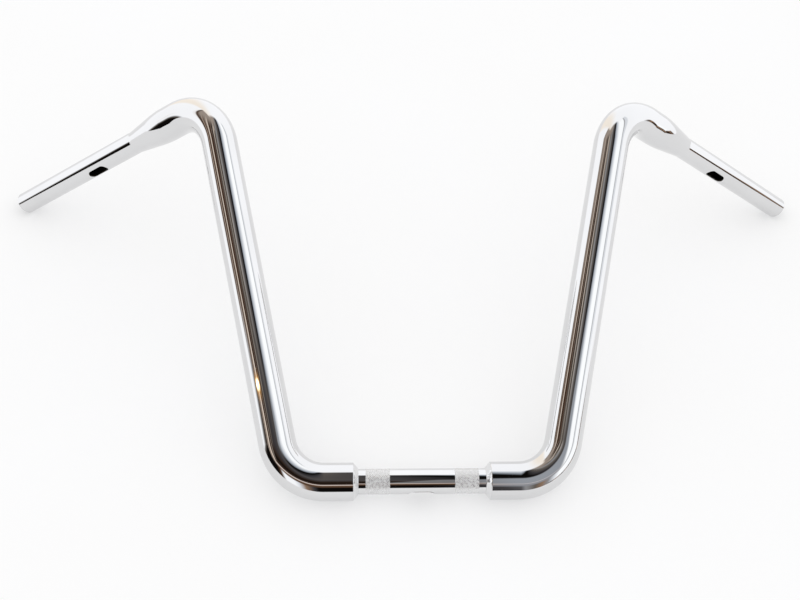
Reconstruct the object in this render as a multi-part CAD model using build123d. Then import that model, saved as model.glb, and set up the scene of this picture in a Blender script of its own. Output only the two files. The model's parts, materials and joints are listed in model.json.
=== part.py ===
from build123d import *
import math
import os

# A tall motorcycle handlebar of stepped tube. The middle and the two grip ends are
# 1 in tube, and the stretch between them on each side is 1-1/2 in tube with two bends.
#
# The bar is laid out as it is mounted, with the uprights rising along +Z and the grips
# swept back along +Y. It is then laid on its back, so that it rests on the ends of its
# fat tubes and on its two bar ends. The origin is the middle of the clamping tube's
# axis, and +X runs along that axis. Lengths are in mm and angles in degrees.

# Tube sizes
THIN_RADIUS = 12.7            # clamping tube and grips, 1 in outside
FAT_RADIUS = 19.05            # riser tubes, 1-1/2 in outside
CLAMP_WALL = 3.2
FAT_WALL = 2.4
GRIP_WALL = 2.1
CLAMP_BORE = THIN_RADIUS - CLAMP_WALL
FAT_BORE = FAT_RADIUS - FAT_WALL
GRIP_BORE = THIN_RADIUS - GRIP_WALL

# Centreline of one side
STEP_X = 68.2                 # where the clamping tube meets the fat tube
BOTTOM_CORNER_X = 137.0       # the bottom bend's corner, before rounding
RISE = 406.4                  # clamp axis to the top bend's corner, 16 in
LEAN = 11.75                  # how far the uprights lean outwards
BEND_RADIUS = 48.5            # centreline radius of both bends
PULLBACK = 36.0               # grip direction, turned back towards the rider
DROOP = 11.0                  # grip direction, turned down
GRIP_REACH = 311.0            # top bend's corner to the bar end
GRIP_LENGTH = 193.0           # straight 1 in tube at each end
TAPER_LENGTH = 55.0           # from the fat tube down to the grip tube

# Joints at the step
SPIGOT_DEPTH = 28.0           # clamping tube inside the fat tube
BUSH_DEPTH = 25.0
BEAD_LENGTH = 4.6             # fillet bead along the clamping tube
BEAD_HEIGHT = 5.6             # fillet bead up the step
BEAD_CROWN_OUT = 0.62         # the middle of its face, as a part of the length
BEAD_CROWN_UP = 0.68          # and of the height
END_ROUND = 0.8               # broken edges of the tube ends

# Butt joints of the taper, welded in a V groove and ground flush
GROOVE_WIDTH = 4.0
GROOVE_ROOT = 0.8
GROOVE_DEPTH = 1.7
TAPER_FAT_BLEND = 22.0        # the long, soft blend out of the fat tube
TAPER_THIN_BLEND = 4.0        # the short blend into the grip tube

# Wiring slots
SLOT_LENGTH = 27.0
CLAMP_SLOT_WIDTH = 12.7
GRIP_SLOT_WIDTH = 11.0
GRIP_SLOT_FROM_END = 131.0
GRIP_SLOT_TURN = 7.0          # turned forward of the grip's underside

# Searching for the tilt at which the bar rests
TILT_RANGE = (30.0, 89.0)
TILT_HALVINGS = 50
NEAR = 0.01                   # lengths closer than this are the same

UP = Vector(0, 0, 1)
BOTTOM_CORNER = Vector(BOTTOM_CORNER_X, 0, 0)
TOP_CORNER = Vector(BOTTOM_CORNER_X + RISE * math.tan(math.radians(LEAN)), 0, RISE)
GRIP_DIRECTION = Vector(1, 0, 0).rotate(Axis.Y, DROOP).rotate(Axis.Z, PULLBACK)
BAR_END = TOP_CORNER + GRIP_DIRECTION * GRIP_REACH
TAPER_START = BAR_END - GRIP_DIRECTION * (GRIP_LENGTH + TAPER_LENGTH)
TAPER_END = BAR_END - GRIP_DIRECTION * GRIP_LENGTH


def end_clearance(tilt):
    """Height of the bar end's lowest point over the fat tubes' lowest line, laid back by tilt."""
    end = BAR_END.rotate(Axis.X, -tilt)
    direction = GRIP_DIRECTION.rotate(Axis.X, -tilt)
    drop = THIN_RADIUS * math.sqrt(1 - direction.Z**2)
    return end.Z - drop + FAT_RADIUS


def resting_tilt():
    """The tilt at which both bar ends touch the surface under the fat tubes."""
    low, high = TILT_RANGE
    for _ in range(TILT_HALVINGS):
        middle = (low + high) / 2
        if end_clearance(middle) > 0:
            low = middle
        else:
            high = middle
    return low


LAID_BACK = resting_tilt()


def along_grip(distance_from_end):
    """A plane across the grip, with its Z outwards and its X towards the slot."""
    underside = UP * -1
    sideways = GRIP_DIRECTION.cross(underside).normalized()
    down = sideways.cross(GRIP_DIRECTION).normalized()
    grip_axis = Axis((0, 0, 0), GRIP_DIRECTION)
    slot_side = down.rotate(grip_axis, -GRIP_SLOT_TURN)
    origin = BAR_END - GRIP_DIRECTION * distance_from_end
    return Plane(origin=origin, x_dir=slot_side, z_dir=GRIP_DIRECTION)


def across_x(x):
    """A plane across the clamp axis, with its Z outwards and its X downwards."""
    return Plane(origin=(x, 0, 0), x_dir=(0, 0, -1), z_dir=(1, 0, 0))


def pipe(plane, length, outer, inner):
    """A straight tube that starts on the plane and runs along its Z."""
    ring = Circle(outer) - Circle(inner)
    return extrude(plane * ring, length)


def turned(plane, outline):
    """A solid of revolution about the plane's Z, from points as (radius, height)."""
    profile = make_face(Polyline(*outline, close=True))
    body = revolve(Plane.XZ * profile, axis=Axis.Z)
    return plane.location * body


def wire_slot(plane, width):
    """The cutter of an oval slot through one wall, on the plane's X side."""
    outline = Plane(origin=(0, 0, 0), x_dir=(0, 0, 1), z_dir=(1, 0, 0)) * SlotOverall(SLOT_LENGTH, width)
    return plane.location * extrude(outline, 2 * THIN_RADIUS)


def groove(plane, radius):
    """The weld metal of a butt joint: a V ring on the plane, flush with the tube."""
    half = GROOVE_WIDTH / 2
    root = GROOVE_ROOT / 2
    deep = radius - GROOVE_DEPTH
    return turned(plane, [(deep, -root), (radius, -half), (radius, half), (deep, root)])


def clamping_tube():
    """The thin middle tube, with its wiring slot underneath."""
    half = STEP_X + SPIGOT_DEPTH
    tube = pipe(across_x(-half), 2 * half, THIN_RADIUS, CLAMP_BORE)
    tube -= wire_slot(across_x(0), CLAMP_SLOT_WIDTH)
    return tube


def step_bush():
    """The ring that carries the clamping tube in the fat tube's end."""
    return pipe(across_x(STEP_X), BUSH_DEPTH, FAT_BORE, THIN_RADIUS)


def step_bead():
    """The fillet weld round the clamping tube, against the step's face."""
    foot = (THIN_RADIUS, -BEAD_LENGTH)
    crown = (THIN_RADIUS + BEAD_CROWN_UP * BEAD_HEIGHT, -BEAD_CROWN_OUT * BEAD_LENGTH)
    head = (THIN_RADIUS + BEAD_HEIGHT, 0)
    corner = (THIN_RADIUS, 0)
    edge = ThreePointArc(foot, crown, head)
    profile = make_face(edge + Polyline(head, corner, foot))
    body = revolve(Plane.XZ * profile, axis=Axis.Z)
    return across_x(STEP_X).location * body


def riser_tube():
    """The bent fat tube, from the step to the taper."""
    corners = [Vector(STEP_X, 0, 0), BOTTOM_CORNER, TOP_CORNER, TAPER_START]
    path = FilletPolyline(*corners, radius=BEND_RADIUS)
    start = across_x(STEP_X)
    tube = sweep(start * Circle(FAT_RADIUS), path=path) - sweep(start * Circle(FAT_BORE), path=path)
    circles = tube.edges().filter_by(GeomType.CIRCLE)
    at_step = [edge for edge in circles if abs(edge.center().X - STEP_X) < NEAR]
    outer_step = [edge for edge in at_step if edge.radius > FAT_BORE + NEAR]
    tube = fillet(outer_step, END_ROUND)
    return tube - groove(along_grip(GRIP_LENGTH + TAPER_LENGTH), FAT_RADIUS)


def taper_outline(large, small):
    """Radius and height of a straight cone with an arc into each tube at its two ends."""
    slope = (large - small) / (TAPER_LENGTH - (TAPER_FAT_BLEND + TAPER_THIN_BLEND) / 2)
    cone_start = (large - slope * TAPER_FAT_BLEND / 2, TAPER_FAT_BLEND)
    cone_end = (small + slope * TAPER_THIN_BLEND / 2, TAPER_LENGTH - TAPER_THIN_BLEND)
    into_fat = TangentArc((large, 0), cone_start, tangent=(0, 1))
    into_thin = TangentArc((small, TAPER_LENGTH), cone_end, tangent=(0, -1))
    return into_fat, Line(cone_start, cone_end), into_thin


def taper_collar():
    """The reducer between the fat tube and the grip tube."""
    outside = taper_outline(FAT_RADIUS, THIN_RADIUS)
    inside = taper_outline(FAT_BORE, GRIP_BORE)
    fat_end = Line((FAT_RADIUS, 0), (FAT_BORE, 0))
    thin_end = Line((THIN_RADIUS, TAPER_LENGTH), (GRIP_BORE, TAPER_LENGTH))
    profile = make_face([*outside, *inside, fat_end, thin_end])
    body = revolve(Plane.XZ * profile, axis=Axis.Z)
    fat_joint = along_grip(GRIP_LENGTH + TAPER_LENGTH)
    thin_joint = along_grip(GRIP_LENGTH)
    collar = fat_joint.location * body
    collar -= groove(fat_joint, FAT_RADIUS)
    collar -= groove(thin_joint, THIN_RADIUS)
    return collar


def grip_tube():
    """The straight 1 in tube for grip and controls, open at its end, with its wiring slot."""
    tube = pipe(along_grip(GRIP_LENGTH), GRIP_LENGTH, THIN_RADIUS, GRIP_BORE)
    grip_axis = Axis((0, 0, 0), GRIP_DIRECTION)
    end_edges = tube.edges().filter_by(GeomType.CIRCLE).sort_by(grip_axis)[-2:]
    tube = fillet(end_edges, END_ROUND)
    tube -= wire_slot(along_grip(GRIP_SLOT_FROM_END), GRIP_SLOT_WIDTH)
    tube -= groove(along_grip(GRIP_LENGTH), THIN_RADIUS)
    return tube


def laid_down(shape):
    """The shape as the bar rests on a table."""
    return shape.rotate(Axis.X, -LAID_BACK)


def write(name, shape):
    export_step(shape, f"parts/{name}.step")


def write_pair(name, shape):
    """Write a piece of the right side and its mirror image on the left."""
    right = laid_down(shape)
    write(f"right_{name}", right)
    write(f"left_{name}", mirror(right, about=Plane.YZ))


os.makedirs("parts", exist_ok=True)
write("centre_clamping_tube", laid_down(clamping_tube()))
write_pair("step_bush", step_bush())
write_pair("step_weld", step_bead())
write_pair("riser_tube", riser_tube())
write_pair("taper_weld", groove(along_grip(GRIP_LENGTH + TAPER_LENGTH), FAT_RADIUS))
write_pair("taper_collar", taper_collar())
write_pair("grip_weld", groove(along_grip(GRIP_LENGTH), THIN_RADIUS))
write_pair("grip_tube", grip_tube())
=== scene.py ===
import json
import math
import bmesh
import bpy
import numpy as np
from mathutils import Euler, Matrix, Vector


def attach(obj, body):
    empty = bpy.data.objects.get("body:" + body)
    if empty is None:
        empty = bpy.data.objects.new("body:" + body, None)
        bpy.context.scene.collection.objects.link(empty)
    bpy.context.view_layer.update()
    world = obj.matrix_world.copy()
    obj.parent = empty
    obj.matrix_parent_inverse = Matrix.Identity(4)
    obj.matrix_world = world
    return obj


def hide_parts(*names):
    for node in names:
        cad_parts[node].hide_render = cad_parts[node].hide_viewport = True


# The chromed handlebar on a pale studio floor. Lengths are in metres and angles in
# degrees, in the row frame: the bar lies on its back, +X runs along the clamping tube
# and +Z is up.

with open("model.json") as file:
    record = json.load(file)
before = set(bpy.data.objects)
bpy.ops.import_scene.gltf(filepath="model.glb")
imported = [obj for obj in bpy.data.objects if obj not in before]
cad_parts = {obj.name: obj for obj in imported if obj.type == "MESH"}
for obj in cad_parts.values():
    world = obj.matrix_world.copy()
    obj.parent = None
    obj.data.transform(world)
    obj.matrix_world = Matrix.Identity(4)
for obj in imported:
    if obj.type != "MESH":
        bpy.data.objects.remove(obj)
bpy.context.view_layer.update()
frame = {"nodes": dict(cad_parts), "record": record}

MM = 0.001
INCH = 25.4 * MM

# Tube sizes
THIN_RADIUS = INCH / 2
FAT_RADIUS = 0.75 * INCH
CLAMP_BORE = THIN_RADIUS - 3.2 * MM
FAT_BORE = FAT_RADIUS - 2.4 * MM
GRIP_BORE = THIN_RADIUS - 2.1 * MM

# Centreline of the right side
STEP_X = 68.2 * MM
SPIGOT_DEPTH = 28.0 * MM
BOTTOM_CORNER = Vector((137.0 * MM, 0, 0))
BEND_RADIUS = 48.5 * MM
GRIP_REACH = 311.0 * MM
GRIP_LENGTH = 193.0 * MM
TAPER_LENGTH = 55.0 * MM
TAPER_FAT_BLEND = 22.0 * MM
TAPER_THIN_BLEND = 4.0 * MM

# Edges and welds
END_ROUND = 0.8 * MM
BEAD_LENGTH = 4.6 * MM
BEAD_HEIGHT = 5.6 * MM
BEAD_RIPPLES = 30
GROOVE_HALF = 2.0 * MM
GROOVE_ROOT = 0.4 * MM
GROOVE_DEPTH = 1.7 * MM
RIPPLE = 0.16 * MM
BEAD_STEPS = 17
BEAD_HOLLOW = 0.35
BEAD_CHEVRON = 1.6
# Uneven spacing of the ripples: size, waves round the tube and start of each part
BEAD_WOBBLE = ((0.25, 3, 0.7), (0.15, 7, 0.0))

# Wiring slots
SLOT_LENGTH = 27.0 * MM
CLAMP_SLOT_WIDTH = 12.7 * MM
GRIP_SLOT_WIDTH = 11.0 * MM
GRIP_SLOT_FROM_END = 131.0 * MM
GRIP_SLOT_TURN = 7.0
SLOT_ROUND = 0.6 * MM
SLOT_MARGIN = 4.0 * MM
SLOT_RINGS = 25
SLOT_RING_SPREAD = 0.99
GRIP_SLOT_COLUMNS = 16
CLAMP_SLOT_COLUMNS = 35
# Loops of points from the patch's rim to the slot's edge, as parts of the way, and back inside
OUTER_LOOPS = (0.3, 0.6, 0.85, 1.0)
INNER_LOOPS = (1.0, 0.6, 0.3)
ROUND_ANGLES = (30, 60, 90)

# Knurled clamp bands
BAND_CENTRE = 1.75 * INCH
BAND_LENGTH = 24.0 * MM
DIAMONDS_ROUND = 40
KNURL_PITCH = 2.0 * MM
KNURL_DEPTH = 0.45 * MM
SAMPLES_PER_DIAMOND = 6
BAND_FADE = 0.1 * MM
BAND_STEP = 0.05 * MM
BAND_TO_SLOT = 1.0 * MM
KNURL_SINK = 1e-8
KNURL_METAL = 0.35
KNURL_SPECKLE = 480.0
KNURL_ROUGHNESS = 0.12

# Mesh fineness
COLUMNS = 144
ARC_STEP = 1.5
TAPER_RINGS = 40
SHARP_ANGLE = 35.0
TRUE_NORMAL_LIMIT = 15.0
EDGE_STEPS = 6
SEAM_STEPS = 9
RING_AXIS_HALF = 0.1          # half the length of the axis that a ring is turned about
BORE_MARGIN = 0.5 * MM
NO_ZERO = 1e-12               # keeps a division from being by nothing
SAME = 1e-9                   # lengths closer than this are the same
NEAR = 1e-6

# Camera
CAMERA_PLACE = Vector((-0.0729, -0.4902, 0.9080))
CAMERA_AZIMUTH = 4.59
CAMERA_PITCH = 51.40
CAMERA_ROLL = 3.67
CAMERA_LENS = 45.66
SENSOR_WIDTH = 36.0


def mount(name):
    """One of the record's mounts."""
    return next(m for m in frame["record"]["mounts"] if m["name"] == name)


GRIP_AXIS = Vector(mount("right_grip_end")["axis"]).normalized()
BAR_END = Vector(mount("right_grip_end")["pos_m"]) + GRIP_AXIS * GRIP_LENGTH / 2
TOP_CORNER = BAR_END - GRIP_AXIS * GRIP_REACH
TAPER_START = BAR_END - GRIP_AXIS * (GRIP_LENGTH + TAPER_LENGTH)
TAPER_END = BAR_END - GRIP_AXIS * GRIP_LENGTH
FLOOR = -FAT_RADIUS
MOUNTED_UP = Vector((0, TOP_CORNER.y, TOP_CORNER.z)).normalized()


def grip_slot_side():
    """The direction that the grip's slot opens in: its underside, turned a little forward."""
    sideways = GRIP_AXIS.cross(-MOUNTED_UP).normalized()
    underside = sideways.cross(GRIP_AXIS).normalized()
    return Matrix.Rotation(math.radians(-GRIP_SLOT_TURN), 3, GRIP_AXIS) @ underside


# ---------------------------------------------------------------- lines and profiles


def station(distance, point, along, side):
    """One cross-section of a line, as a row: its distance, centre, tangent and side."""
    return [distance, *point, *along, *side]


def bent_line(corners, radius, side):
    """Cross-sections of straight runs joined by arcs, with the side carried round each bend."""
    along = (corners[1] - corners[0]).normalized()
    rows = [station(0, corners[0], along, side)]
    distance = 0
    last = corners[0]
    for corner, after in zip(corners[1:-1], corners[2:]):
        onward = (after - corner).normalized()
        turn = along.angle(onward)
        start = corner - along * radius * math.tan(turn / 2)
        distance += (start - last).length
        inward = (onward - along * math.cos(turn)).normalized()
        centre = start + inward * radius
        hinge = along.cross(onward).normalized()
        steps = math.ceil(math.degrees(turn) / ARC_STEP)
        for k in range(steps + 1):
            spin = Matrix.Rotation(turn * k / steps, 3, hinge)
            rows.append(station(distance + radius * turn * k / steps,
                                centre + spin @ (start - centre), spin @ along, spin @ side))
        distance += radius * turn
        last = centre + spin @ (start - centre)
        side = spin @ side
        along = onward
    distance += (corners[-1] - last).length
    rows.append(station(distance, corners[-1], along, side))
    return np.array(rows)


def straight_line(start, end, side):
    """Cross-sections of a single straight run."""
    along = (end - start).normalized()
    rows = [station(0, start, along, side), station((end - start).length, end, along, side)]
    return np.array(rows)


def ring_axis(centre, along, side):
    """A short axis whose distances count from its middle, to turn a ring about."""
    reach = along * RING_AXIS_HALF
    line = straight_line(centre - reach, centre + reach, side)
    line[:, 0] -= RING_AXIS_HALF
    return line


def any_side(along):
    """Some direction square to the given one."""
    return along.cross(Vector((0, 0, 1))).normalized()


def at(line, distances):
    """Centre, tangent and side of the line at each distance."""
    values = [np.interp(distances, line[:, 0], line[:, k]) for k in range(1, 10)]
    centre, along, side = np.array(values).T.reshape(-1, 3, 3).transpose(1, 0, 2)
    along /= np.linalg.norm(along, axis=1)[:, None]
    side /= np.linalg.norm(side, axis=1)[:, None]
    return centre, along, side


def arc(centre, radius, start, end, steps):
    """Points of an arc in the (distance, radius) plane."""
    angles = np.radians(np.linspace(start, end, steps + 1))
    return [(centre[0] + radius * math.cos(a), centre[1] + radius * math.sin(a)) for a in angles]


def profile_normals(profile):
    """A normal for each profile point, set mostly by the longer of its two sides."""
    after = np.roll(profile, -1, axis=0) - profile
    length = np.linalg.norm(after, axis=1)
    unit = after / length[:, None]
    square = np.stack([-unit[:, 1], unit[:, 0]], axis=1)
    weight = (length / length.max()) ** 3 + NO_ZERO
    before = np.roll(square, 1, axis=0) * np.roll(weight, 1)[:, None]
    mixed = before + square * weight[:, None]
    return mixed / np.linalg.norm(mixed, axis=1)[:, None]


# ---------------------------------------------------------------- meshes


def turned_grid(line, profile, columns, relief=None):
    """Vertices and true normals of a closed profile carried round the line, ring by ring."""
    profile = np.array(profile)
    square = profile_normals(profile)
    centre, along, side = at(line, profile[:, 0])
    over = np.cross(along, side)
    turn = np.linspace(0, 2 * math.pi, columns, endpoint=False)
    radial = (side[:, None, :] * np.cos(turn)[None, :, None]
              + over[:, None, :] * np.sin(turn)[None, :, None])
    rise = np.zeros((len(profile), columns))
    if relief is not None:
        rise = relief(profile[:, 0][:, None], profile[:, 1][:, None], turn[None, :])
    places = centre[:, None, :] + radial * (profile[:, 1][:, None] + rise)[..., None]
    normals = along[:, None, :] * square[:, 0][:, None, None] + radial * square[:, 1][:, None, None]
    plain = np.abs(rise) < SAME
    return places, normals * plain[..., None]


def ring_faces(rings, columns, skip=()):
    """Quads of the closed grid, leaving out the cells in skip."""
    faces = []
    for i in range(rings):
        for j in range(columns):
            if (i, j) in skip:
                continue
            right = (j + 1) % columns
            below = (i + 1) % rings
            upper = (i * columns + j, i * columns + right)
            lower = (below * columns + right, below * columns + j)
            faces.append(upper + lower)
    return faces


def loop_faces(loops):
    """Quads between each loop of vertices and the next."""
    faces = []
    for first, second in zip(loops[:-1], loops[1:]):
        count = len(first)
        for k in range(count):
            step = (k + 1) % count
            faces.append((first[k], first[step], second[step], second[k]))
    return faces


def build_mesh(name, places, faces, normals, bore_faces, mirrored):
    """A closed, smooth mesh.

    Corners near a vertex's true normal take it exactly, so that chrome shows no facets.
    """
    flip = np.array([-1.0 if mirrored else 1.0, 1.0, 1.0])
    places = places * flip
    normals = normals * flip
    mesh = bpy.data.meshes.new(name)
    mesh.from_pydata(places.tolist(), [], faces)
    mesh.polygons.foreach_set("material_index", np.array(bore_faces, dtype=np.int32))
    tidy = bmesh.new()
    tidy.from_mesh(mesh)
    bmesh.ops.recalc_face_normals(tidy, faces=tidy.faces)
    tidy.to_mesh(mesh)
    tidy.free()
    mesh.shade_smooth()
    mesh.set_sharp_from_angle(angle=math.radians(SHARP_ANGLE))
    corners = np.zeros(len(mesh.loops) * 3, dtype=np.float32)
    mesh.corner_normals.foreach_get("vector", corners)
    corners = corners.reshape(-1, 3)
    owner = np.zeros(len(mesh.loops), dtype=np.int32)
    mesh.loops.foreach_get("vertex_index", owner)
    wanted = normals[owner]
    near = np.abs((corners * wanted).sum(axis=1)) > math.cos(math.radians(TRUE_NORMAL_LIMIT))
    agree = np.sign((corners * wanted).sum(axis=1))[:, None]
    corners[near] = (wanted * agree)[near]
    mesh.normals_split_custom_set(corners.tolist())
    return mesh


def place_piece(name, mesh, materials):
    """Shows a mesh as the piece that stands for the CAD node of the same name."""
    for material in materials:
        mesh.materials.append(material)
    piece = bpy.data.objects.new(name + "_finish", mesh)
    bpy.context.scene.collection.objects.link(piece)
    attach(piece, "root")
    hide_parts(name)
    return piece


def is_bore(places, faces, line, limit):
    """1 for each face that lies nearer to the line than the limit, else 0."""
    centres = np.array([places[list(face)].mean(axis=0) for face in faces])
    start = line[:-1, 1:4]
    run = line[1:, 1:4] - start
    size = (run ** 2).sum(axis=1)
    nearest = np.full(len(centres), np.inf)
    for a, r, s in zip(start, run, size):
        part = np.clip(((centres - a) @ r) / max(s, NO_ZERO), 0, 1)
        gap = np.linalg.norm(centres - a - part[:, None] * r, axis=1)
        nearest = np.minimum(nearest, gap)
    return (nearest < limit).astype(int)


def turned_piece(name, line, profile, limit, materials, mirrored, relief=None):
    """A tube, ring or bead with the given wall profile, as a piece."""
    places, normals = turned_grid(line, profile, COLUMNS, relief)
    faces = ring_faces(len(profile), COLUMNS)
    places = places.reshape(-1, 3)
    bore = is_bore(places, faces, line, limit)
    mesh = build_mesh(name, places, faces, normals.reshape(-1, 3), bore, mirrored)
    return place_piece(name, mesh, materials)


# ---------------------------------------------------------------- slotted tubes


def on_wall(line, distance, turn, radius, drop=0.0):
    """Points on a round wall, moved towards the axis along the slot's own direction by drop."""
    centre, along, side = at(line, distance)
    over = np.cross(along, side)
    return centre + side * (radius * np.cos(turn) - drop)[:, None] + over * (radius * np.sin(turn))[:, None]


def slot_chain(line, middle, width, outer, inner, rim_distance, rim_turn):
    """Loops of points from the outer wall, over the slot's rounded edge and down to the inner wall."""
    half = width / 2
    core_half = SLOT_LENGTH / 2 - half
    offset = rim_distance - middle
    core = np.clip(offset, -core_half, core_half)
    reach = np.stack([offset - core, outer * np.sin(rim_turn)], axis=1)
    reach /= np.linalg.norm(reach, axis=1)[:, None]
    loops = []

    def outline(grow):
        return middle + core + (half + grow) * reach[:, 0], (half + grow) * reach[:, 1]

    for part in OUTER_LOOPS:
        distance, across = outline(SLOT_ROUND)
        turn = np.arcsin(across / outer)
        loops.append(on_wall(line, rim_distance * (1 - part) + distance * part,
                             rim_turn * (1 - part) + turn * part, outer))
    for angle in ROUND_ANGLES:
        distance, across = outline(SLOT_ROUND * (1 - math.sin(math.radians(angle))))
        drop = SLOT_ROUND * (1 - math.cos(math.radians(angle)))
        loops.append(on_wall(line, distance, np.arcsin(across / outer), outer, drop))
    distance, across = outline(0)
    turn = np.arcsin(across / inner)
    for part in INNER_LOOPS:
        loops.append(on_wall(line, rim_distance * (1 - part) + distance * part,
                             rim_turn * (1 - part) + turn * part, inner))
    return loops


def slotted_piece(name, line, profile, columns, slot_at, slot_width, outer, inner, slot_columns,
                  materials, mirrored, relief=None):
    """A straight tube with one oval wiring slot on the line's side, as a piece."""
    profile = np.array(profile)
    places, normals = turned_grid(line, profile, columns, relief)
    reach = SLOT_LENGTH / 2 + SLOT_MARGIN
    inside = np.abs(profile[:, 0] - slot_at) < reach
    outer_rings = np.flatnonzero(inside & (profile[:, 1] > (outer + inner) / 2))
    inner_rings = np.flatnonzero(inside & (profile[:, 1] < (outer + inner) / 2))[::-1]
    span = range(-slot_columns, slot_columns + 1)
    skip = set()
    for rings in (outer_rings, inner_rings):
        first = min(rings)
        for i in range(len(rings) - 1):
            for j in list(span)[:-1]:
                skip.add((first + i, j % columns))
    count = len(outer_rings)
    rim = [(0, j) for j in span]
    rim += [(i, slot_columns) for i in range(1, count)]
    rim += [(count - 1, j) for j in list(span)[-2::-1]]
    rim += [(i, -slot_columns) for i in range(count - 2, 0, -1)]
    rim_distance = np.array([profile[outer_rings[i], 0] for i, j in rim])
    rim_turn = np.array([2 * math.pi * j / columns for i, j in rim])
    chain = slot_chain(line, slot_at, slot_width, outer, inner, rim_distance, rim_turn)

    base = len(profile) * columns
    loops = [[outer_rings[i] * columns + j % columns for i, j in rim]]
    for k in range(len(chain)):
        loops.append(list(range(base + k * len(rim), base + (k + 1) * len(rim))))
    loops.append([inner_rings[i] * columns + j % columns for i, j in rim])
    faces = ring_faces(len(profile), columns, skip) + loop_faces(loops)
    all_places = np.concatenate([places.reshape(-1, 3), *chain])
    axis_start, axis_along = line[0, 1:4], line[0, 4:7]
    extra = np.concatenate(chain) - axis_start
    radial = extra - (extra @ axis_along)[:, None] * axis_along
    radial /= np.linalg.norm(radial, axis=1)[:, None]
    all_normals = np.concatenate([normals.reshape(-1, 3), radial])
    bore = is_bore(all_places, faces, line, (outer + inner) / 2)
    mesh = build_mesh(name, all_places, faces, all_normals, bore, mirrored)
    return place_piece(name, mesh, materials)


# ---------------------------------------------------------------- wall profiles


def between(line, start, end):
    """The line's own distances that lie inside a stretch, both ends included."""
    own = line[:, 0]
    inside = own[(own > start + NEAR) & (own < end - NEAR)]
    return [start, *inside, end]


def riser_profile(line):
    """Fat tube: a rounded edge at the step, and half a V groove at the taper."""
    length = line[-1, 0]
    edge = arc((END_ROUND, FAT_RADIUS - END_ROUND), END_ROUND, 180, 90, EDGE_STEPS)
    outside = [(s, FAT_RADIUS) for s in between(line, END_ROUND, length - GROOVE_HALF)[1:]]
    groove_foot = [(length - GROOVE_ROOT, FAT_RADIUS - GROOVE_DEPTH), (length, FAT_RADIUS - GROOVE_DEPTH)]
    inside = [(s, FAT_BORE) for s in between(line, 0, length)[::-1]]
    return edge + outside + groove_foot + inside


def seam_profile(radius):
    """The weld metal of a butt joint, a V that is flush with the tube."""
    top = [(s * GROOVE_HALF, radius) for s in np.linspace(-1, 1, SEAM_STEPS)]
    deep = radius - GROOVE_DEPTH
    return top + [(GROOVE_ROOT, deep), (-GROOVE_ROOT, deep)]


def taper_radius(distance, large, small):
    """Radius along the taper: a straight cone that bends softly into both tubes."""
    slope = (large - small) / (TAPER_LENGTH - (TAPER_FAT_BLEND + TAPER_THIN_BLEND) / 2)
    fat_part = max(TAPER_FAT_BLEND - distance, 0)
    thin_part = max(distance - (TAPER_LENGTH - TAPER_THIN_BLEND), 0)
    cone = large - slope * (distance - TAPER_FAT_BLEND / 2)
    fat_bend = slope * fat_part ** 2 / (2 * TAPER_FAT_BLEND)
    thin_bend = slope * thin_part ** 2 / (2 * TAPER_THIN_BLEND)
    return cone - fat_bend + thin_bend


def collar_profile():
    """The reducer, with half a V groove at each end."""
    rings = np.linspace(GROOVE_HALF, TAPER_LENGTH - GROOVE_HALF, TAPER_RINGS)
    outside = [(s, taper_radius(s, FAT_RADIUS, THIN_RADIUS)) for s in rings]
    thin_deep = THIN_RADIUS - GROOVE_DEPTH
    foot = [(TAPER_LENGTH - GROOVE_ROOT, thin_deep), (TAPER_LENGTH, thin_deep)]
    backward = np.linspace(TAPER_LENGTH, 0, TAPER_RINGS)
    inside = [(s, taper_radius(s, FAT_BORE, GRIP_BORE)) for s in backward]
    head = [(0, FAT_RADIUS - GROOVE_DEPTH), (GROOVE_ROOT, FAT_RADIUS - GROOVE_DEPTH)]
    return outside + foot + inside + head


def slot_rings(start, end, slot_at):
    """Evenly spaced distances either side of the slot, with finer rings along it."""
    reach = SLOT_LENGTH / 2 + SLOT_MARGIN
    spread = SLOT_RING_SPREAD * reach
    along = np.linspace(slot_at - spread, slot_at + spread, SLOT_RINGS)
    return [start, *along, end]


def grip_profile():
    """Grip tube: half a V groove at the weld and a rounded, open end."""
    slot_at = GRIP_LENGTH - GRIP_SLOT_FROM_END
    rings = slot_rings(GROOVE_HALF, GRIP_LENGTH - END_ROUND, slot_at)
    outside = [(s, THIN_RADIUS) for s in rings]
    end = arc((GRIP_LENGTH - END_ROUND, THIN_RADIUS - END_ROUND), END_ROUND, 90, 0, EDGE_STEPS)[1:]
    lip = arc((GRIP_LENGTH - END_ROUND, GRIP_BORE + END_ROUND), END_ROUND, 0, -90, EDGE_STEPS)
    inside = [(s, GRIP_BORE) for s in slot_rings(0, GRIP_LENGTH, slot_at)[-2::-1]]
    head = [(0, THIN_RADIUS - GROOVE_DEPTH), (GROOVE_ROOT, THIN_RADIUS - GROOVE_DEPTH)]
    return outside + end + lip + inside + head


def band_edges(half):
    """Where the two knurled bands start and stop along the clamping tube."""
    left = half - BAND_CENTRE
    right = half + BAND_CENTRE
    return [(centre - BAND_LENGTH / 2, centre + BAND_LENGTH / 2) for centre in (left, right)]


def clamp_profile():
    """Clamping tube, with fine rings where it is knurled."""
    half = STEP_X + SPIGOT_DEPTH
    rings = [0.0]
    (left_start, left_end), (right_start, right_end) = band_edges(half)
    fine = round(BAND_LENGTH / KNURL_PITCH * SAMPLES_PER_DIAMOND)
    rings += [left_start - BAND_STEP, *np.linspace(left_start, left_end, fine + 1), left_end + BAND_STEP]
    rings += slot_rings(left_end + BAND_TO_SLOT, right_start - BAND_TO_SLOT, half)
    rings += [right_start - BAND_STEP, *np.linspace(right_start, right_end, fine + 1), right_end + BAND_STEP]
    rings.append(2 * half)
    outside = [(s, THIN_RADIUS) for s in rings]
    inside = [(s, CLAMP_BORE) for s in slot_rings(0, 2 * half, half)[::-1]]
    return outside + inside


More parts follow.
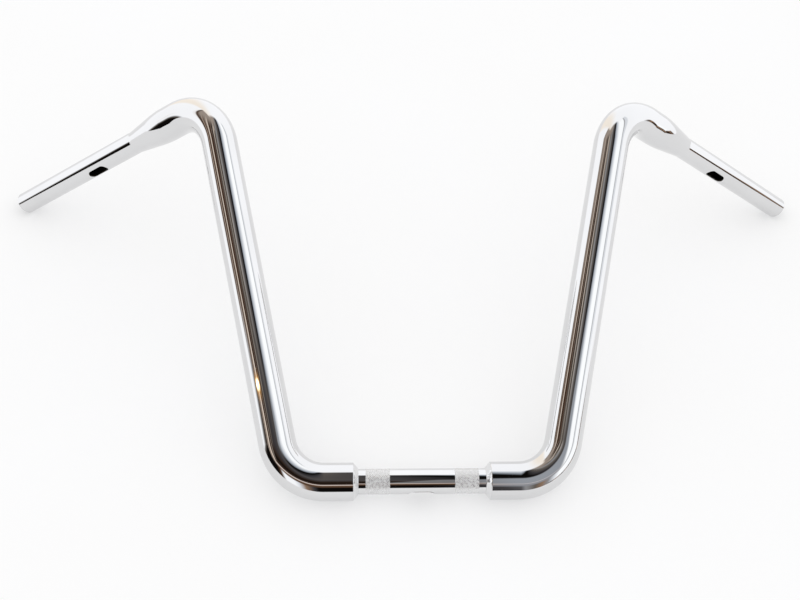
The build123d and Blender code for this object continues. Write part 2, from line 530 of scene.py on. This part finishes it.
def knurl_relief(distance, radius, turn):
    """Diamond knurl: two families of crossing V grooves over each clamp band."""
    half = STEP_X + SPIGOT_DEPTH
    relief = np.zeros(np.broadcast_shapes(distance.shape, turn.shape))
    for start, end in band_edges(half):
        row = (distance - start) / KNURL_PITCH
        column = DIAMONDS_ROUND * turn / (2 * math.pi)
        one = np.abs(2 * ((column + row) % 1) - 1)
        other = np.abs(2 * ((column - row) % 1) - 1)
        height = np.minimum(one, other)
        inside = (distance > start - SAME) & (distance < end + SAME) & (radius > THIN_RADIUS - SAME)
        relief = np.where(inside, -KNURL_DEPTH * (1 - height) - KNURL_SINK, relief)
    return relief


def bead_profile():
    """Fillet weld between the clamping tube and the step's face."""
    steps = np.linspace(0, 1, BEAD_STEPS)
    crown = []
    for part in steps:
        angle = math.radians(90 * part)
        crown.append((-BEAD_LENGTH * math.cos(angle), THIN_RADIUS + BEAD_HEIGHT * math.sin(angle)))
    flat = [(s, r - BEAD_HOLLOW * BEAD_HEIGHT * math.sin(math.pi * p)) for (s, r), p in zip(crown, steps)]
    return flat + [(0, THIN_RADIUS)]


def bead_relief(distance, radius, turn):
    """The ripples of a hand-laid bead, strongest at its crown."""
    across = (radius - THIN_RADIUS) / BEAD_HEIGHT
    crown = np.clip(4 * across * (1 - across), 0, 1)
    wobble = sum(size * np.sin(waves * turn + start) for size, waves, start in BEAD_WOBBLE)
    wave = np.abs(np.sin(BEAD_RIPPLES / 2 * turn + BEAD_CHEVRON * (across - 0.5) ** 2 + wobble))
    return RIPPLE * crown * (wave - 1)


# ---------------------------------------------------------------- materials

# Surface marks. Scales are in cells to the metre, and a pair is a fade's start and end.
HAZE_FADE = (0.35, 0.75)
HAZE_DETAIL = 4.0
HAZE_TONE = 0.965             # colour of the haze, as a part of the metal's own
PIT_SCALE = 260.0
PIT_FADE = (0.10, 0.04)
PIT_ROUGHNESS = 0.18
WAVE_SCALE = 24.0
GRAIN_SCALE = 900.0
SPECKLE_FADE = (0.40, 0.60)
SPECKLE_LEAST = 0.30
MOTTLE_SCALE = 3.0
FLOOR_ROUGHNESS = 0.9
FLOOR_SPECULAR = 0.1


def linear(red, green, blue):
    """A display colour, 0 to 255, as the linear colour that shaders take."""
    colour = []
    for part in (red, green, blue):
        share = part / 255
        colour.append(((share + 0.055) / 1.055) ** 2.4 if part > 10 else share / 12.92)
    return colour + [1.0]


def add(tree, kind, *values, settings=None, **named):
    """A new shader node. Values fill its inputs in order, named ones by name; a socket is linked."""
    node = tree.nodes.new("ShaderNode" + kind)
    for key, value in (settings or {}).items():
        setattr(node, key, value)
    filled = list(enumerate(values)) + [(key.replace("_", " "), value) for key, value in named.items()]
    for key, value in filled:
        if isinstance(value, bpy.types.NodeSocket):
            tree.links.new(value, node.inputs[key])
        elif value is not None:
            node.inputs[key].default_value = value
    return node


def calc(tree, operation, *values):
    """The result of a Math node."""
    return add(tree, "Math", *values, settings={"operation": operation}).outputs[0]


def smooth(tree, value, low, high):
    """0 below low, 1 above high, and a smooth step between them."""
    node = add(tree, "MapRange", Value=value, settings={"interpolation_type": "SMOOTHSTEP"})
    node.inputs["From Min"].default_value = low
    node.inputs["From Max"].default_value = high
    return node.outputs[0]


def scale_range(tree, value, low, high):
    """A 0 to 1 value spread over low to high."""
    return add(tree, "MapRange", Value=value, To_Min=low, To_Max=high).outputs[0]


def noise(tree, place, scale, detail=2.0):
    """Smooth seeded noise over the given coordinates."""
    node = add(tree, "TexNoise", Vector=place, Scale=scale, Detail=detail)
    return node.outputs[0]


def metal(name, colour, dull, bright, haze_scale, wave, grain):
    """Plated or bare metal: haze patches, tiny pits, a slow waviness and a fine grain."""
    material = bpy.data.materials.new(name)
    material.use_nodes = True
    tree = material.node_tree
    shader = tree.nodes["Principled BSDF"]
    place = add(tree, "TexCoord").outputs["Object"]
    haze = smooth(tree, noise(tree, place, haze_scale, HAZE_DETAIL), *HAZE_FADE)
    specks = add(tree, "TexVoronoi", Vector=place, Scale=PIT_SCALE).outputs["Distance"]
    pits = smooth(tree, specks, *PIT_FADE)
    rough = scale_range(tree, haze, bright, dull)
    rough = calc(tree, "MULTIPLY_ADD", pits, PIT_ROUGHNESS, rough)
    tree.links.new(rough, shader.inputs["Roughness"])
    tone = add(tree, "Mix", settings={"data_type": "RGBA"})
    tree.links.new(scale_range(tree, haze, 0.0, 1.0), tone.inputs[0])
    tone.inputs[6].default_value = colour
    tone.inputs[7].default_value = [c * HAZE_TONE for c in colour[:3]] + [1.0]
    tree.links.new(tone.outputs[2], shader.inputs["Base Color"])
    shader.inputs["Metallic"].default_value = 1.0
    slow = add(tree, "Bump", Height=noise(tree, place, WAVE_SCALE, 1.0), Distance=wave)
    grains = noise(tree, place, GRAIN_SCALE, 3.0)
    fine = add(tree, "Bump", Height=grains, Distance=grain, Normal=slow.outputs[0])
    tree.links.new(fine.outputs[0], shader.inputs["Normal"])
    return material


def frost_bands(material):
    """Whiter, duller plating over the knurled bands, whose many small faces scatter the light."""
    tree = material.node_tree
    shader = tree.nodes["Principled BSDF"]
    place = add(tree, "TexCoord").outputs["Object"]
    along = add(tree, "SeparateXYZ", place).outputs[0]
    from_band = calc(tree, "ABSOLUTE", calc(tree, "SUBTRACT", calc(tree, "ABSOLUTE", along), BAND_CENTRE))
    inside = smooth(tree, from_band, BAND_LENGTH / 2 + BAND_FADE, BAND_LENGTH / 2 - BAND_FADE)
    speckle = smooth(tree, noise(tree, place, KNURL_SPECKLE, 1.0), *SPECKLE_FADE)
    whiter = calc(tree, "MULTIPLY", inside, scale_range(tree, speckle, SPECKLE_LEAST, 1.0))
    tree.links.new(scale_range(tree, whiter, 1.0, KNURL_METAL), shader.inputs["Metallic"])
    polished = shader.inputs["Roughness"].links[0].from_socket
    tree.links.new(calc(tree, "MULTIPLY_ADD", inside, KNURL_ROUGHNESS, polished), shader.inputs["Roughness"])
    return material


def floor_material():
    """Pale seamless floor: matt, lifted by a little light of its own, with a faint mottle."""
    material = bpy.data.materials.new("pale_floor")
    material.use_nodes = True
    tree = material.node_tree
    shader = tree.nodes["Principled BSDF"]
    place = add(tree, "TexCoord").outputs["Object"]
    mottle = noise(tree, place, MOTTLE_SCALE)
    tone = add(tree, "Mix", settings={"data_type": "RGBA"})
    tree.links.new(mottle, tone.inputs[0])
    tone.inputs[6].default_value = FLOOR_TONE
    tone.inputs[7].default_value = FLOOR_TONE_COOL
    tree.links.new(tone.outputs[2], shader.inputs["Base Color"])
    shader.inputs["Roughness"].default_value = FLOOR_ROUGHNESS
    shader.inputs["Specular IOR Level"].default_value = FLOOR_SPECULAR
    shader.inputs["Emission Color"].default_value = WHITE
    shader.inputs["Emission Strength"].default_value = FLOOR_GLOW
    return material


# ---------------------------------------------------------------- studio

FLOOR_TONE = (0.590, 0.583, 0.572, 1.0)
FLOOR_TONE_COOL = (0.605, 0.605, 0.608, 1.0)
FLOOR_GLOW = 0.42
FLOOR_HALF = 4.0
WORLD_LIGHT = 1.0
ROOM_LIGHT = 1.40

WHITE = linear(245, 246, 248)
PAPER = linear(232, 230, 228)
CREAM = linear(240, 231, 219)
WINDOW = linear(252, 254, 255)
PALE = linear(214, 217, 222)
BEIGE = linear(218, 202, 188)
TAN = linear(135, 110, 90)
BROWN = linear(78, 58, 45)
DARK_WOOD = linear(48, 36, 28)
GREY_BROWN = linear(96, 90, 84)
CEILING = linear(138, 138, 140)
CEILING_DARK = linear(60, 58, 60)
CEILING_WARM = linear(150, 138, 128)
BLUE_GREY = linear(160, 166, 174)
BLACK = linear(12, 10, 9)
ROSE = linear(222, 212, 208)

# Only reflections see the room below. It isn't plain light: its bands were typed
# after a print of the photograph's colours by the direction that the chrome reflects, and
# adjusted until the render looked alike. The lamp's direction is a program's trace of one
# bright spot in the photograph.

# A warm lamp, seen as a spark on the left upright: its glow and its core, each with its
# width across and along the upright, strength and colour
GLINT_DIRECTION = (-0.735, -0.298, 0.609)
UPRIGHT_AXIS = (-0.204, 0.880, 0.430)
GLINT = [(0.34, 0.018, 0.9, (0.95, 0.48, 0.12, 1.0)), (0.22, 0.009, 1.0, (6.0, 4.8, 3.0, 1.0))]
# How steeply the bright wall at the back climbs, which hides the shelves behind it
BACK_WALL_RISE = 1.1
# The edge of the lighter ceiling over the camera, in degrees up, and how it climbs to the right
CEILING_START = 36.0
CEILING_SLANT = 450.0
CEILING_EDGE = (0.0, 6.0)
CEILING_FROM = (44.0, 47.0)
CEILING_STRENGTH = 0.6
# The paler right side of the room in front
RIGHT_FROM = (0.10, 0.17)
RIGHT_STRENGTH = 0.65
# The shelves on the left: where they start and end, in degrees up, and where they turn warm
SHELVES_FROM = (20.0, 25.0)
SHELVES_TO = (84.0, 76.0)
WARM_FROM = (0.05, 0.35)
# Their streaks: how closely they lie, where they fade in, and their strength
LIGHT_STREAKS = (0.13, (0.50, 0.58), 0.70)
DARK_STREAKS = (0.17, (0.48, 0.40), 0.90)
EDGE_STREAKS = 0.45
EDGE_SHIFT = 3.0
# Where each part of the room shows: how far ahead it lies, and up to what height
FRONT_AHEAD = (0.62, 0.74)
FRONT_UNDER = (0.97, 0.93)
STANDS_AHEAD = (0.14, 0.24)
STANDS_UNDER = (0.50, 0.40)
BACK_AHEAD = (-0.72, -0.84)
BACK_UNDER = (0.90, 0.84)
CREAM_FROM = (0.0, -0.4)
# A dark skirting low down on the right
SKIRTING_UNDER = (0.075, 0.055)
SKIRTING_RIGHT = (0.50, 0.62)
SKIRTING_NEAR = (0.02, -0.10)
SKIRTING_MOTTLE = 9.0
SKIRTING_FADE = (0.48, 0.58)

# What the chrome sees to the left, overhead and to the right: degrees up from the -X horizon
SIDE_BANDS = [
    (0, WHITE), (14, WHITE), (18, PAPER), (20, BROWN), (24, DARK_WOOD), (27, BROWN), (30, TAN),
    (32, DARK_WOOD), (35, BROWN), (38, BEIGE), (42, BEIGE), (44, BROWN), (49, DARK_WOOD), (55, BROWN),
    (58, DARK_WOOD), (62, GREY_BROWN), (74, GREY_BROWN), (80, CEILING), (85, GREY_BROWN), (92, CEILING_DARK),
    (97, BLACK), (100, BLACK), (104, BLUE_GREY), (113, PALE), (122, WINDOW), (141, WINDOW), (145, CEILING),
    (148, PALE), (155, PALE), (158, WHITE), (180, WHITE),
]
# What it sees towards the camera, higher up: degrees up from the -Y horizon
FRONT_BANDS = [
    (0, BLACK), (22, DARK_WOOD), (27, BROWN), (34, BROWN), (39, TAN), (41, ROSE), (42, ROSE), (44, BROWN),
    (48, DARK_WOOD), (55, BLACK), (60, DARK_WOOD), (68, CEILING_DARK), (76, GREY_BROWN), (84, CEILING),
]
# And low down: degrees round the horizon from -X, with 90 at -Y and 180 at +X
FRONT_STANDS = [
    (0, WHITE), (10, PALE), (15, GREY_BROWN), (20, BLACK), (42, BLACK), (47, BROWN), (51, WHITE),
    (62, WHITE), (67, PALE), (73, TAN), (80, CEILING_DARK), (84, BLACK), (95, BLACK), (99, CEILING_DARK),
    (104, CEILING), (112, GREY_BROWN), (118, TAN), (124, CEILING), (130, PALE), (136, WINDOW), (180, WINDOW),
]


def bands(tree, angle, stops):
    """Colours by angle: the angle in degrees picks from the stops, with smooth joins."""
    node = add(tree, "ValToRGB", calc(tree, "DIVIDE", angle, 180.0))
    marks = node.color_ramp.elements
    while len(marks) < len(stops):
        marks.new(1.0)
    for mark, (place, colour) in zip(marks, stops):
        mark.position = place / 180
        mark.color = colour
    return node.outputs[0]


def mix_colour(tree, factor, first, second):
    """Blend of two colours."""
    node = add(tree, "Mix", settings={"data_type": "RGBA"})
    for key, value in ((0, factor), (6, first), (7, second)):
        if isinstance(value, bpy.types.NodeSocket):
            tree.links.new(value, node.inputs[key])
        else:
            node.inputs[key].default_value = value
    return node.outputs[2]


def degrees(tree, up, forward):
    """The angle whose tangent is up over forward, in degrees."""
    return calc(tree, "DEGREES", calc(tree, "ARCTAN2", up, forward))


def streaks(tree, angle, rate, drift):
    """Noise that runs in long lines across an angle in degrees."""
    place = add(tree, "CombineXYZ", calc(tree, "MULTIPLY", angle, rate), drift).outputs[0]
    return add(tree, "TexNoise", Vector=place, Scale=1.0, Detail=3.0).outputs[0]


def product(tree, *values):
    """Values multiplied together."""
    result = values[0]
    for value in values[1:]:
        result = calc(tree, "MULTIPLY", result, value)
    return result


def opposite(tree, value):
    """The value with its sign changed."""
    return calc(tree, "MULTIPLY", value, -1.0)


def side_room(tree, x, y, z):
    """Shelves on the left, the ceiling overhead and the windows on the right."""
    behind = calc(tree, "MAXIMUM", y, 0.0)
    height = calc(tree, "MULTIPLY_ADD", behind, -BACK_WALL_RISE, z)
    angle = degrees(tree, height, opposite(tree, x))
    fine = streaks(tree, angle, EDGE_STREAKS, 0.0)
    angle = calc(tree, "ADD", angle, calc(tree, "MULTIPLY_ADD", fine, EDGE_SHIFT, -EDGE_SHIFT / 2))
    room = bands(tree, angle, SIDE_BANDS)
    shelves = product(tree, smooth(tree, angle, *SHELVES_FROM), smooth(tree, angle, *SHELVES_TO))
    for (rate, fade, strength), colour in ((LIGHT_STREAKS, BEIGE), (DARK_STREAKS, BLACK)):
        lines = product(tree, smooth(tree, streaks(tree, angle, rate, y), *fade), strength)
        room = mix_colour(tree, product(tree, shelves, lines), room, colour)
    warm = product(tree, smooth(tree, y, *WARM_FROM), shelves)
    return mix_colour(tree, warm, room, CEILING_WARM)


def front_room(tree, x, y, z):
    """The dark space at the camera, with a lighter ceiling that slants up to the right."""
    angle = degrees(tree, z, opposite(tree, y))
    room = bands(tree, angle, FRONT_BANDS)
    edge = calc(tree, "MULTIPLY_ADD", x, CEILING_SLANT, CEILING_START)
    slant = calc(tree, "SUBTRACT", edge, angle)
    ceiling = product(tree, smooth(tree, slant, *CEILING_EDGE), smooth(tree, angle, *CEILING_FROM))
    room = mix_colour(tree, product(tree, ceiling, CEILING_STRENGTH), room, CEILING)
    lighter = product(tree, smooth(tree, x, *RIGHT_FROM), RIGHT_STRENGTH)
    return mix_colour(tree, lighter, room, BLUE_GREY)


def with_skirting(tree, room, direction, x, y, z):
    """The room with its mottled dark skirting."""
    low = smooth(tree, z, *SKIRTING_UNDER)
    right = smooth(tree, x, *SKIRTING_RIGHT)
    near = smooth(tree, y, *SKIRTING_NEAR)
    mottle = smooth(tree, noise(tree, direction, SKIRTING_MOTTLE), *SKIRTING_FADE)
    tone = mix_colour(tree, mottle, DARK_WOOD, TAN)
    return mix_colour(tree, product(tree, low, right, near), room, tone)


def with_lamp(tree, room, direction):
    """The room with its warm lamp, narrow along the upright and wide across it."""
    gap = add(tree, "VectorMath", direction, GLINT_DIRECTION, settings={"operation": "SUBTRACT"}).outputs[0]
    apart = add(tree, "VectorMath", gap, settings={"operation": "LENGTH"}).outputs["Value"]
    along = add(tree, "VectorMath", gap, UPRIGHT_AXIS, settings={"operation": "DOT_PRODUCT"}).outputs["Value"]
    along = calc(tree, "ABSOLUTE", along)
    for wide, narrow, strength, colour in GLINT:
        glow = product(tree, smooth(tree, apart, wide, 0.0), smooth(tree, along, narrow, 0.0), strength)
        room = mix_colour(tree, glow, room, colour)
    return room


def chrome_room(tree, direction):
    """Everything that reflections see, by direction."""
    x, y, z = add(tree, "SeparateXYZ", direction).outputs
    squares = calc(tree, "ADD", product(tree, x, x), product(tree, y, y))
    ahead = calc(tree, "DIVIDE", opposite(tree, y), calc(tree, "SQRT", squares))
    front_part = product(tree, smooth(tree, ahead, *FRONT_AHEAD), smooth(tree, z, *FRONT_UNDER))
    stands_part = product(tree, smooth(tree, ahead, *STANDS_AHEAD), smooth(tree, z, *STANDS_UNDER))
    back_part = product(tree, smooth(tree, ahead, *BACK_AHEAD), smooth(tree, z, *BACK_UNDER))
    stands = bands(tree, degrees(tree, opposite(tree, y), opposite(tree, x)), FRONT_STANDS)
    back = mix_colour(tree, smooth(tree, x, *CREAM_FROM), WHITE, CREAM)
    room = mix_colour(tree, front_part, side_room(tree, x, y, z), front_room(tree, x, y, z))
    room = mix_colour(tree, stands_part, room, stands)
    room = mix_colour(tree, back_part, room, back)
    room = with_skirting(tree, room, direction, x, y, z)
    return with_lamp(tree, room, direction)


def studio_world():
    """A plain white world for everything but reflections, which see the banded room."""
    world = bpy.data.worlds.new("studio")
    bpy.context.scene.world = world
    world.use_nodes = True
    tree = world.node_tree
    direction = add(tree, "TexCoord").outputs["Generated"]
    seen = add(tree, "Background", Color=chrome_room(tree, direction), Strength=ROOM_LIGHT)
    plain = add(tree, "Background", Color=(1.0, 1.0, 1.0, 1.0), Strength=WORLD_LIGHT)
    glossy = add(tree, "LightPath").outputs["Is Glossy Ray"]
    mixed = add(tree, "MixShader", glossy, plain.outputs[0], seen.outputs[0])
    tree.links.new(mixed.outputs[0], tree.nodes["World Output"].inputs["Surface"])


def add_floor():
    """A wide, plain floor at the height that the bar rests on."""
    corners = [(-1, -1), (1, -1), (1, 1), (-1, 1)]
    mesh = bpy.data.meshes.new("floor")
    mesh.from_pydata([(x * FLOOR_HALF, y * FLOOR_HALF, FLOOR) for x, y in corners], [], [(0, 1, 2, 3)])
    mesh.materials.append(floor_material())
    floor = bpy.data.objects.new("floor", mesh)
    bpy.context.scene.collection.objects.link(floor)


def add_camera():
    """The camera, above and in front of the clamping tube."""
    camera = bpy.data.objects.new("camera", bpy.data.cameras.new("camera"))
    bpy.context.scene.collection.objects.link(camera)
    camera.data.sensor_fit = "HORIZONTAL"
    camera.data.sensor_width = SENSOR_WIDTH
    camera.data.lens = CAMERA_LENS
    aim = Euler((math.radians(90 - CAMERA_PITCH), 0, math.radians(-CAMERA_AZIMUTH))).to_matrix()
    camera.rotation_mode = "QUATERNION"
    camera.rotation_quaternion = (aim @ Matrix.Rotation(math.radians(CAMERA_ROLL), 3, "Z")).to_quaternion()
    camera.location = CAMERA_PLACE
    bpy.context.scene.camera = camera


# ---------------------------------------------------------------- the bar

CHROME = metal("chrome_plate", (0.72, 0.72, 0.725, 1.0), 0.012, 0.0, 16.0, 0.05 * MM, 0.0003 * MM)
CLAMP_CHROME = frost_bands(metal("clamp_chrome_plate", (0.74, 0.74, 0.745, 1.0), 0.03, 0.01, 40.0,
                                 0.03 * MM, 0.0005 * MM))
WELD_CHROME = metal("weld_chrome_plate", (0.78, 0.78, 0.785, 1.0), 0.14, 0.05, 90.0, 0.10 * MM, 0.004 * MM)
BORE_STEEL = metal("bore_steel", (0.10, 0.085, 0.06, 1.0), 0.65, 0.45, 60.0, 0.05 * MM, 0.02 * MM)
BARE_STEEL = metal("bare_steel_finish", (0.46, 0.46, 0.47, 1.0), 0.42, 0.28, 70.0, 0.02 * MM, 0.01 * MM)

PLATED = [CHROME, BORE_STEEL]
SIDES = (("right", False), ("left", True))


def make_side(side, mirrored):
    """Every piece of one side of the bar, from the step weld to the bar end."""
    step = Vector((STEP_X, 0, 0))
    riser = bent_line([step, BOTTOM_CORNER, TOP_CORNER, TAPER_START], BEND_RADIUS, Vector((0, 1, 0)))
    turned_piece(side + "_riser_tube", riser, riser_profile(riser), FAT_BORE + BORE_MARGIN,
                 PLATED, mirrored)
    bead = ring_axis(step, Vector((1, 0, 0)), Vector((0, 1, 0)))
    turned_piece(side + "_step_weld", bead, bead_profile(), 0, [WELD_CHROME, BORE_STEEL],
                 mirrored, bead_relief)
    across = any_side(GRIP_AXIS)
    seams = (("_taper_weld", TAPER_START, FAT_RADIUS), ("_grip_weld", TAPER_END, THIN_RADIUS))
    for node, centre, radius in seams:
        seam = ring_axis(centre, GRIP_AXIS, across)
        turned_piece(side + node, seam, seam_profile(radius), 0, PLATED, mirrored)
    taper = straight_line(TAPER_START, TAPER_END, across)
    turned_piece(side + "_taper_collar", taper, collar_profile(), 0, PLATED, mirrored)
    grip = straight_line(TAPER_END, BAR_END, grip_slot_side())
    slotted_piece(side + "_grip_tube", grip, grip_profile(), COLUMNS, GRIP_LENGTH - GRIP_SLOT_FROM_END,
                  GRIP_SLOT_WIDTH, THIN_RADIUS, GRIP_BORE, GRIP_SLOT_COLUMNS, PLATED, mirrored)


def make_clamping_tube():
    """The knurled middle tube, with its slot underneath."""
    half = STEP_X + SPIGOT_DEPTH
    line = straight_line(Vector((-half, 0, 0)), Vector((half, 0, 0)), -MOUNTED_UP)
    columns = DIAMONDS_ROUND * SAMPLES_PER_DIAMOND
    slotted_piece("centre_clamping_tube", line, clamp_profile(), columns, half, CLAMP_SLOT_WIDTH,
                  THIN_RADIUS, CLAMP_BORE, CLAMP_SLOT_COLUMNS, [CLAMP_CHROME, BORE_STEEL],
                  False, knurl_relief)


def finish_bushes():
    """The step bushes keep their CAD mesh and get bare steel."""
    for side, _ in SIDES:
        bush = frame["nodes"][side + "_step_bush"]
        bush.data.materials.clear()
        bush.data.materials.append(BARE_STEEL)


add_camera()
studio_world()
add_floor()
make_clamping_tube()
for side, mirrored in SIDES:
    make_side(side, mirrored)
finish_bushes()

bpy.context.scene.view_settings.view_transform = "Standard"
